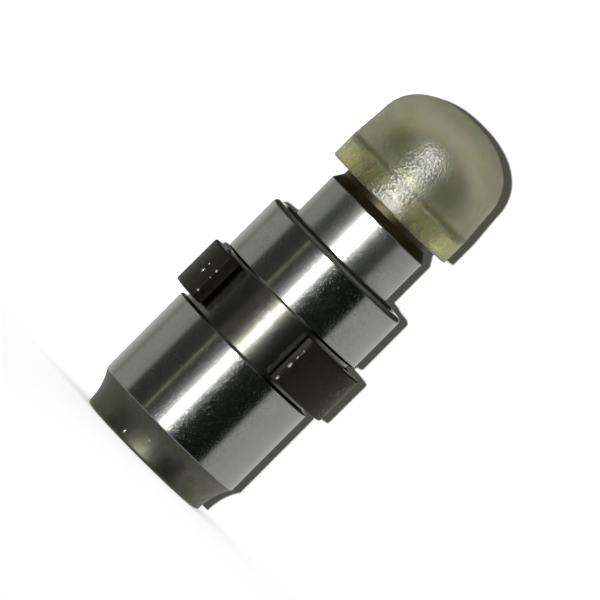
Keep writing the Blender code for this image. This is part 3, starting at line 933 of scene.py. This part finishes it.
@dataclass
class BallPlunger:
    """The upper plunger: skirt, ground stem, neck and ball head with its oil hole."""

    stem_radius: float = 5.0e-3
    neck_radius: float = 4.5e-3
    waist_radius: float = 4.92e-3
    ball_radius: float = 4.75e-3
    reservoir_radius: float = 3.32e-3
    hole_radius: float = 0.8e-3
    head_flat: float = 1.5e-3
    neck_chamfer: float = 0.8e-3
    stem_top: float = 26.55e-3
    skirt_top: float = 20.9e-3
    waist_top: float = 18.185e-3
    ball_height: float = 30.15e-3
    roof: float = 27.55e-3
    roof_angle: float = math.radians(40)

    def outline(self) -> Array:
        """From the head's oil hole down the outside, and up the reservoir."""
        radius, low, high = reach("plunger")
        edge, hole = 0.05e-3, self.hole_radius
        first = 90 - math.degrees(math.asin(self.head_flat / self.ball_radius))
        last = -math.degrees(math.acos(self.neck_radius / self.ball_radius))
        ball = arc((0, self.ball_height), self.ball_radius, first, last, 60)
        rise = (self.reservoir_radius - hole) * math.tan(self.roof_angle)
        head = filleted([(hole, high - 1e-3, 0), (hole, high, 0.12e-3),
                         (ball[0, 0], ball[0, 1], 0)])
        rest = filleted([
            (ball[-1, 0], ball[-1, 1], 0),
            (self.neck_radius, self.stem_top + self.neck_chamfer, 0.15e-3),
            (self.stem_radius, self.stem_top, 0.08e-3),
            (self.stem_radius, self.skirt_top, 0),
            (radius, self.skirt_top, 2 * edge),
            (radius, self.waist_top, edge),
            (self.waist_radius, self.waist_top, edge),
            (self.waist_radius, low, edge),
            (self.reservoir_radius, low, edge),
            (self.reservoir_radius, self.roof, edge),
            (hole, self.roof + rise, 0),
        ])
        return joined(head, ball, rest)

    def build(self) -> bpy.types.Object:
        """The plunger, with its feed hole through the waist."""
        plunger = new_object("ball_plunger", turned(self.outline(), OUTER_FACETS, closed=True))
        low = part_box("plunger")[0].z
        hole = self.hole_radius
        pierce(plunger, superellipse_plug(
            (hole, hole), 2.0, (self.reservoir_radius / 2, self.stem_radius + hole),
            (low + self.waist_top) / 2, 0.0))
        steel = TurnedSteel("plunger_steel", ground_radius=self.stem_radius - 2e-5,
                            polished_above=self.ball_height + 1e-4,
                            bright=(0.57, 0.575, 0.55),
                            skin=(0.075, 0.066, 0.042), skin_roughness=0.42,
                            bright_roughness=0.26, relief=9e-6)
        return fit(plunger, steel.material(), Carrier.PLUNGER, "plunger")


@dataclass
class CheckValve:
    """The leak-down piston with its seat, and the ball, fine spring and cage under it."""

    neck_radius: float = 4.92e-3
    neck_height: float = 1.2e-3
    reservoir_radius: float = 3.32e-3
    piston_floor: float = 2.0e-3
    seat_mouth: float = 1.431e-3
    seat_hole: float = 1.051e-3
    sheet: float = 0.35e-3
    cage_inner: float = 1.95e-3
    drain_radius: float = 0.6e-3
    windows: int = 3
    window_width: float = 1.4e-3
    window_sill: float = 0.6e-3
    spring_wire: float = 0.16e-3
    spring_turns: float = 2.5
    spring_keep: float = 0.68

    def build_piston(self) -> bpy.types.Object:
        """The short cup, with the chamfered seat under its floor."""
        radius, low, high = reach("leak_down_piston")
        edge = 0.05e-3
        outline = filleted([
            (self.seat_mouth, low, edge),
            (radius, low, 2 * edge),
            (radius, high - self.neck_height, edge),
            (self.neck_radius, high - self.neck_height, edge),
            (self.neck_radius, high, edge),
            (self.reservoir_radius, high, edge),
            (self.reservoir_radius, low + self.piston_floor, 0.3e-3),
            (self.seat_hole, low + self.piston_floor, edge),
            (self.seat_hole, low + self.seat_mouth - self.seat_hole, 0),
        ], closed=True)
        piston = new_object("leak_down_cup", turned(outline, INNER_FACETS, closed=True))
        steel = TurnedSteel("piston_steel", ground_radius=self.neck_radius + 2e-4)
        return fit(piston, steel.material(), Carrier.PUMP, "leak_down_piston")

    def build_ball(self) -> bpy.types.Object:
        """The hardened check ball."""
        radius, low, high = reach("check_ball")
        outline = arc((0, (low + high) / 2), radius, -90, 90, 48)
        outline[[0, -1], 0] = 0.0
        ball = new_object("valve_ball", turned(outline, 96))
        steel = TurnedSteel("ball_steel", ground_radius=0.0, bright_roughness=0.07, relief=2e-6)
        return fit(ball, steel.material(), Carrier.VALVE, "check_ball")

    def build_cage(self) -> bpy.types.Object:
        """The pressed hat with a flange, three windows and a drain hole."""
        rim, low, high = reach("check_valve_cage")
        sheet, inner = self.sheet, self.cage_inner
        wall = inner + sheet
        outline = filleted([
            (rim, high, 0.1e-3),
            (rim, high - sheet, 0.1e-3),
            (wall, high - sheet, 0.12e-3),
            (wall, low, 0.3e-3),
            (self.drain_radius, low, 0.04e-3),
            (self.drain_radius, low + sheet, 0.04e-3),
            (inner, low + sheet, 0.1e-3),
            (inner, high, 0.3e-3),
        ], closed=True)
        cage = new_object("valve_cage", turned(outline, INNER_FACETS, closed=True))
        bottom, top = low + sheet + self.window_sill, high - 2 * sheet + 5e-5
        for i in range(self.windows):
            pierce(cage, superellipse_plug(
                (self.window_width / 2, (top - bottom) / 2), 6.0, (inner / 2, wall + sheet),
                (low + sheet + self.window_sill + top) / 2, 2 * math.pi * i / self.windows))
        return fit(cage, DrawnSteel("cage_steel").material(), Carrier.PUMP,
                   "check_valve_cage")

    def build_spring(self) -> bpy.types.Object:
        """The fine spring behind the ball."""
        radius, low, high = reach("check_ball_spring")
        coil = Coil(self.spring_wire, radius - self.spring_wire / 2, self.spring_turns, low, high)
        spring = new_object("valve_spring", coil.surface())
        fit(spring, DrawnSteel("valve_spring_steel").material(), Carrier.PUMP,
            "check_ball_spring")
        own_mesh(spring)
        return spring


@dataclass
class ShippingCap:
    """The thin moulded cap over the ball head."""

    side_radius: float = 5.97e-3
    bore_radius: float = 4.8e-3
    skirt_wall: float = 0.85e-3
    crown_wall: float = 1.15e-3
    crown_height: float = 4.5e-3
    crown_power: float = 2.25
    grip_height: float = 30.3e-3
    rim_round: float = 0.12e-3

    def outline(self) -> Array:
        """From the middle of the crown down the outside, round the rim and up the inside."""
        rim, low, high = reach("protective_cap")
        base, skirt, grip = high - self.crown_height, rim - self.skirt_wall, self.grip_height
        outer = superellipse(self.side_radius, self.crown_height, base, self.crown_power, 48)
        inner = superellipse(self.bore_radius, self.crown_height - self.crown_wall, base,
                             self.crown_power, 40)
        walls = filleted([
            (outer[0, 0], outer[0, 1], 0),
            (rim, grip, 0.5e-3),
            (rim, low, self.rim_round),
            (skirt, low, self.rim_round),
            (skirt, grip - (skirt - self.bore_radius), 0.08e-3),
            (self.bore_radius, grip, 0.08e-3),
            (inner[0, 0], inner[0, 1], 0),
        ])
        return joined(outer[::-1], walls, inner)

    def build(self) -> bpy.types.Object:
        """The cap."""
        cap = new_object("shipping_cap", turned(self.outline(), OUTER_FACETS))
        high = reach("protective_cap")[2]
        plastic = NaturalPlastic("cap_plastic", self.grip_height, high - self.crown_height, high)
        return fit(cap, plastic.material(), Carrier.CAP, "protective_cap")


@dataclass
class Studio:
    """The floor, the white card behind the part, the light tent, the lamps and the camera."""

    foot_px: tuple[float, float] = (142.4, 455.8)
    top_px: tuple[float, float] = (474.5, 122.9)
    frame_px: float = 600.0
    distance: float = 1.1
    elevation: float = math.radians(2.0)
    sensor: float = 36.0
    backdrop_away: float = 3.0
    backdrop_half: float = 0.4
    backdrop_shade: float = 0.2
    shadow_shift: tuple[float, float] = (0.65e-3, 0.35e-3)
    floor_back: float = 0.012
    floor_half: float = 0.6
    tent_radius: float = 0.6
    strip_light: float = 4.5
    glint: float = 0.4
    through_light: float = 2.0
    walls: tuple[tuple[float, Colour], ...] = (
        (-180, (0.56, 0.56, 0.54)), (-150, (0.56, 0.56, 0.54)), (-134, (0.42, 0.42, 0.41)), (-129, (0.30, 0.31, 0.24)),
        (-122, (0.30, 0.31, 0.24)), (-117, (0.40, 0.40, 0.37)), (-84, (0.38, 0.39, 0.36)),
        (-78, (0.050, 0.052, 0.045)), (-46, (0.045, 0.05, 0.042)), (-44.6, (0.40, 0.39, 0.27)),
        (-42.8, (0.40, 0.39, 0.27)), (-41.4, (0.05, 0.05, 0.045)), (-33, (0.07, 0.07, 0.07)),
        (-24, (0.25, 0.25, 0.25)), (-17, (0.8, 0.8, 0.8)), (-3, (0.8, 0.8, 0.8)),
        (3, (0.20, 0.20, 0.20)), (11, (0.012, 0.016, 0.013)), (61, (0.003, 0.005, 0.004)),
        (66, (0.46, 0.46, 0.45)), (100, (0.50, 0.50, 0.48)), (150, (0.56, 0.56, 0.54)),
        (180, (0.56, 0.56, 0.54)))
    strips: tuple[tuple[float, Colour], ...] = (
        (-180, (0.15, 0.15, 0.15)), (-176, (0.15, 0.15, 0.15)), (-173, (0.0, 0.0, 0.0)),
        (-14.5, (0.0, 0.0, 0.0)), (-13, (1.0, 1.0, 1.0)), (-7, (1.0, 1.0, 1.0)),
        (-5.5, (0.0, 0.0, 0.0)), (173, (0.0, 0.0, 0.0)), (176, (0.15, 0.15, 0.15)))

    def build(self, shiny: dict[bpy.types.Object, float]) -> None:
        """Makes the whole studio.

        Args:
            shiny: Pieces that mirror the flash by a strength of their own.
        """
        self.make_world()
        floor = self.make_floor()
        backdrop = self.make_backdrop()
        self.make_tent()
        camera = self.make_camera()
        lamps = [self.make_lamp("flash", (-4.4, 0.8), 2.7, 1.2),
                 self.make_lamp("back_light", (160.0, 6.0), 0.8, 20.0),
                 self.make_lamp("top_light", (10.0, 72.0), 0.7, 25.0)]
        for lamp in lamps:
            self.light_all_but(lamp, [backdrop])
        for piece, strength in shiny.items():
            self.light_only(self.make_glint(piece.name + "_glint", strength), [piece])
        self.light_all_but(self.make_glint("glint", self.glint), [backdrop, *shiny])
        shadow_lamp = self.make_shadow_lamp(camera)
        self.light_only(shadow_lamp, [backdrop])
        self.pass_through(shadow_lamp, [floor])

    def make_world(self) -> None:
        """A white surround for what looks at it or through it, and a soft fill for the rest."""
        world = bpy.data.worlds.new("surround")
        world.use_nodes = True
        bpy.context.scene.world = world
        world.node_tree.nodes.clear()
        bench = Bench(world.node_tree)
        rays = bench.put("LightPath").outputs
        seen = bench.math("MAXIMUM", bench.math("MAXIMUM", rays["Is Camera Ray"],
                                                rays["Is Glossy Ray"]),
                          rays["Is Transmission Ray"])
        back = bench.put("Background", {"Color": (1.0, 1.0, 1.0, 1.0),
                                        "Strength": bench.mix(seen, 0.25, 1.0)})
        bench.put("OutputWorld", {"Surface": back.outputs[0]})

    def stage_piece(self, name: str, surface: Surface) -> tuple[bpy.types.Object, Bench, Any]:
        """A stage object, its material's bench and its output node."""
        obj = new_object(name, surface)
        made = bpy.data.materials.new(name)
        made.use_nodes = True
        made.node_tree.nodes.clear()
        obj.data.materials.append(made)
        bench = Bench(made.node_tree)
        return obj, bench, bench.put("OutputMaterial")

    def make_floor(self) -> bpy.types.Object:
        """A pale floor that keeps the part's shadow and fades to white at its back edge."""
        half, z = self.floor_half, -2e-5
        back = self.floor_back
        points = np.array([(-half, -half, z), (half, -half, z), (half, back, z), (-half, back, z)])
        floor, bench, output = self.stage_piece("floor", Surface(points, [[0, 1, 2, 3]]))
        rays = bench.put("LightPath").outputs
        seen = bench.math("MULTIPLY", rays["Is Camera Ray"], 0.55)
        through = bench.math("MULTIPLY", bench.math("MAXIMUM", rays["Is Glossy Ray"],
                                                    rays["Is Transmission Ray"]), 0.85)
        paint = bench.put("BsdfDiffuse", {"Color": (0.9, 0.9, 0.9, 1.0)})
        glow = bench.put("Emission", {"Strength": bench.math("ADD", seen, through)})
        both = bench.put("AddShader", {0: paint.outputs[0], 1: glow.outputs[0]})
        clear = bench.put("Emission", {"Strength": bench.math("MAXIMUM", rays["Is Camera Ray"],
                                                              through)})
        place = bench.put("TexCoord").outputs["Object"]
        fade = bench.step(bench.put("SeparateXYZ", {0: place}).outputs[1], 0.35 * back, 0.97 * back)
        shown = bench.put("MixShader", {0: fade, 1: both.outputs[0], 2: clear.outputs[0]})
        bench.tree.links.new(shown.outputs[0], output.inputs[0])
        floor.visible_glossy = False
        return floor

    def make_backdrop(self) -> bpy.types.Object:
        """The white backdrop far behind the part, seen only from its front.

        The further it stands, the fewer views near the photograph's take in its shadow.
        """
        half, y = self.backdrop_half, self.backdrop_away
        points = np.array([(-half, y, -half), (half, y, -half), (half, y, half), (-half, y, half)])
        backdrop, bench, output = self.stage_piece("backdrop", Surface(points, [[0, 1, 2, 3]]))
        back = bench.put("NewGeometry").outputs["Backfacing"]
        shade = self.backdrop_shade
        paint = bench.put("BsdfDiffuse", {"Color": (shade, shade, shade, 1.0)})
        glow = bench.put("Emission", {"Color": (1.0, 1.0, 0.5, 1.0), "Strength": 0.025})
        both = bench.put("AddShader", {0: paint.outputs[0], 1: glow.outputs[0]})
        clear = bench.put("BsdfTransparent")
        shown = bench.put("MixShader", {0: back, 1: both.outputs[0], 2: clear.outputs[0]})
        bench.tree.links.new(shown.outputs[0], output.inputs[0])
        backdrop.visible_glossy = False
        backdrop.visible_transmission = False
        backdrop.visible_diffuse = False
        backdrop.visible_shadow = False
        return backdrop

    def make_tent(self) -> None:
        """The light tent that polished metal mirrors: pale walls, dark gaps and bright strips."""
        middle = CAD_BOX[1].z / 2
        outline = arc((0, middle), self.tent_radius, -90, 90, 32)
        outline[[0, -1], 0] = 0.0
        tent, bench, output = self.stage_piece("light_tent", turned(outline, 64))
        place = bench.put("VectorMath", {0: bench.put("TexCoord").outputs["Object"],
                                         1: (0.0, 0.0, middle)}, operation="SUBTRACT").outputs[0]
        parts = bench.put("SeparateXYZ", {0: place}).outputs
        azimuth = bench.math("ARCTAN2", parts[0], bench.math("MULTIPLY", parts[1], -1.0))
        share = bench.put("MapRange", {0: azimuth, 1: -math.pi, 2: math.pi}).outputs[0]
        wall = bench.put("ValToRGB", {0: share})
        self.paint_ramp(wall.color_ramp, self.walls)
        strip = bench.put("ValToRGB", {0: share})
        self.paint_ramp(strip.color_ramp, self.strips)
        height = bench.math("DIVIDE", parts[2], self.tent_radius)
        depth = bench.math("MULTIPLY", height, -1.0)
        top, low = bench.step(height, 0.02, 0.10), bench.step(depth, 0.55, 0.85)
        lit = bench.math("MULTIPLY", bench.math("SUBTRACT", 1.0, bench.step(height, 0.04, 0.14)),
                         bench.math("SUBTRACT", 1.0, bench.step(depth, 0.30, 0.50)))
        colour = bench.blend(top, wall.outputs[0],
                             bench.blend(bench.step(height, 0.3, 1.0), (0.045, 0.05, 0.04),
                                         (0.16, 0.16, 0.155)))
        colour = bench.blend(low, colour, (0.35, 0.35, 0.34))
        through = bench.put("LightPath").outputs["Is Transmission Ray"]
        walls = bench.put("Emission", {"Color": colour,
                                       "Strength": bench.mix(through, 1.0, self.through_light)})
        flash = bench.put("Emission", {"Color": strip.outputs[0],
                                       "Strength": bench.math("MULTIPLY", lit, self.strip_light)})
        both = bench.put("AddShader", {0: walls.outputs[0], 1: flash.outputs[0]})
        bench.tree.links.new(both.outputs[0], output.inputs[0])
        tent.data.materials[0].cycles.emission_sampling = "NONE"
        tent.visible_camera = False
        tent.visible_diffuse = False
        tent.visible_shadow = False

    @staticmethod
    def paint_ramp(ramp: bpy.types.ColorRamp, stops: Sequence[tuple[float, Colour]]) -> None:
        """Colours by azimuth in degrees, from the camera's side (0) towards +X, -180 to 180."""
        for element in list(ramp.elements)[1:]:
            ramp.elements.remove(element)
        ramp.elements[0].position = 0.0
        ramp.elements[0].color = (*stops[0][1], 1.0)
        for angle, colour in stops[1:]:
            ramp.elements.new((angle + 180) / 360).color = (*colour, 1.0)

    def make_lamp(self, name: str, towards: tuple[float, float], strength: float,
                  spread: float) -> bpy.types.Object:
        """A distant lamp that polished metal doesn't mirror.

        Args:
            name: The lamp's name.
            towards: Azimuth and elevation of the lamp as seen from the part, in degrees.
            strength: Its light on a surface that faces it.
            spread: Its angle across, in degrees.

        Returns:
            The lamp.
        """
        azimuth, elevation = (math.radians(angle) for angle in towards)
        lamp = bpy.data.lights.new(name, "SUN")
        lamp.energy, lamp.angle = strength, math.radians(spread)
        obj = bpy.data.objects.new(name, lamp)
        bpy.context.scene.collection.objects.link(obj)
        out = Vector((math.sin(azimuth) * math.cos(elevation),
                      -math.cos(azimuth) * math.cos(elevation), math.sin(elevation)))
        obj.rotation_euler = out.to_track_quat("Z", "Y").to_euler()
        obj.visible_glossy = False
        obj.visible_transmission = False
        return obj

    def make_glint(self, name: str, strength: float) -> bpy.types.Object:
        """The flash once more, only as shiny pieces mirror it."""
        lamp = self.make_lamp(name, (-8.0, 0.8), strength, 1.2)
        lamp.visible_glossy, lamp.visible_diffuse = True, False
        return lamp

    def make_shadow_lamp(self, camera: bpy.types.Object) -> bpy.types.Object:
        """A small lamp beside the lens, whose hard shadow shows along the part's right edges.

        Its offset is the wished shift of the shadow, as seen in the part's plane, times
        (distance + away) / away.
        """
        reach = (self.distance + self.backdrop_away) / self.backdrop_away
        lamp = bpy.data.lights.new("shadow_lamp", "POINT")
        lamp.shadow_soft_size = 1.4e-4
        lamp.energy = 4 * math.pi ** 2 * (self.distance + self.backdrop_away) ** 2 * 1.1 \
            / self.backdrop_shade
        obj = bpy.data.objects.new("shadow_lamp", lamp)
        bpy.context.scene.collection.objects.link(obj)
        across, up = self.shadow_shift
        obj.location = camera.matrix_world.translation - Vector((across, 0.0, up)) * reach
        obj.visible_glossy = False
        obj.visible_transmission = False
        return obj

    @staticmethod
    def light_only(lamp: bpy.types.Object, pieces: Sequence[bpy.types.Object]) -> None:
        """Lets a lamp light only some pieces, though every piece still shades them."""
        group = bpy.data.collections.new(lamp.name + "_lights")
        for piece in pieces:
            group.objects.link(piece)
        lamp.light_linking.receiver_collection = group

    @staticmethod
    def pass_through(lamp: bpy.types.Object, pieces: list[bpy.types.Object]) -> None:
        """Keeps pieces from blocking a lamp.

        Args:
            lamp: The lamp.
            pieces: The pieces that throw no shadow in its light.
        """
        held = bpy.data.collections.new(lamp.name + "_passes")
        for piece in pieces:
            held.objects.link(piece)
        for entry in held.collection_objects:
            entry.light_linking.link_state = "EXCLUDE"
        lamp.light_linking.blocker_collection = held

    @staticmethod
    def light_all_but(lamp: bpy.types.Object, pieces: Sequence[bpy.types.Object]) -> None:
        """Lets a lamp light everything but some pieces."""
        Studio.light_only(lamp, pieces)
        for member in lamp.light_linking.receiver_collection.collection_objects:
            member.light_linking.link_state = "EXCLUDE"

    def make_camera(self) -> bpy.types.Object:
        """The camera, rolled and aimed so that the axis runs as the photograph shows it."""
        height = CAD_BOX[1].z
        across, up = self.top_px[0] - self.foot_px[0], self.foot_px[1] - self.top_px[1]
        length = math.hypot(across, up)
        scale = length / (height * math.cos(self.elevation))
        side = Vector((1.0, 0.0, 0.0))
        rise = Vector((0.0, math.sin(self.elevation), math.cos(self.elevation)))
        back = Vector((0.0, -math.cos(self.elevation), math.sin(self.elevation)))
        right = (side * up + rise * across) / length
        upward = (rise * up - side * across) / length
        middle_px = [(a + b) / 2 for a, b in zip(self.foot_px, self.top_px)]
        offset = (right * (middle_px[0] - self.frame_px / 2)
                  + upward * (self.frame_px / 2 - middle_px[1])) / scale
        target = Vector((0.0, 0.0, height / 2)) - offset
        lens = bpy.data.cameras.new("camera")
        lens.sensor_width = self.sensor
        lens.lens = self.sensor * self.distance * scale / self.frame_px
        camera = bpy.data.objects.new("camera", lens)
        bpy.context.scene.collection.objects.link(camera)
        turn = Matrix((right, upward, back)).transposed().to_4x4()
        camera.matrix_world = Matrix.Translation(target + back * self.distance) @ turn
        lens.clip_start, lens.clip_end = 0.01, 10.0
        bpy.context.scene.camera = camera
        return camera


def main() -> None:
    """Builds every sub-assembly, then the studio."""
    logging.basicConfig(level=logging.INFO, format="%(message)s")
    housing = Housing()
    housing.build_body()
    housing.build_ring()
    housing.build_spring()
    valve = CheckValve()
    valve.build_piston()
    valve.build_ball()
    valve.build_cage()
    valve.build_spring()
    plunger = BallPlunger().build()
    clip = SpringClip()
    clip.build()
    cap = ShippingCap().build()
    nicks = [housing.build_nicks(), clip.build_nicks()]
    Studio().build({plunger: 2.0, cap: 4.7, nicks[0]: 2.0, nicks[1]: 2.0})
    bpy.context.scene.view_settings.view_transform = "Standard"


if __name__ == "__main__":
    main()
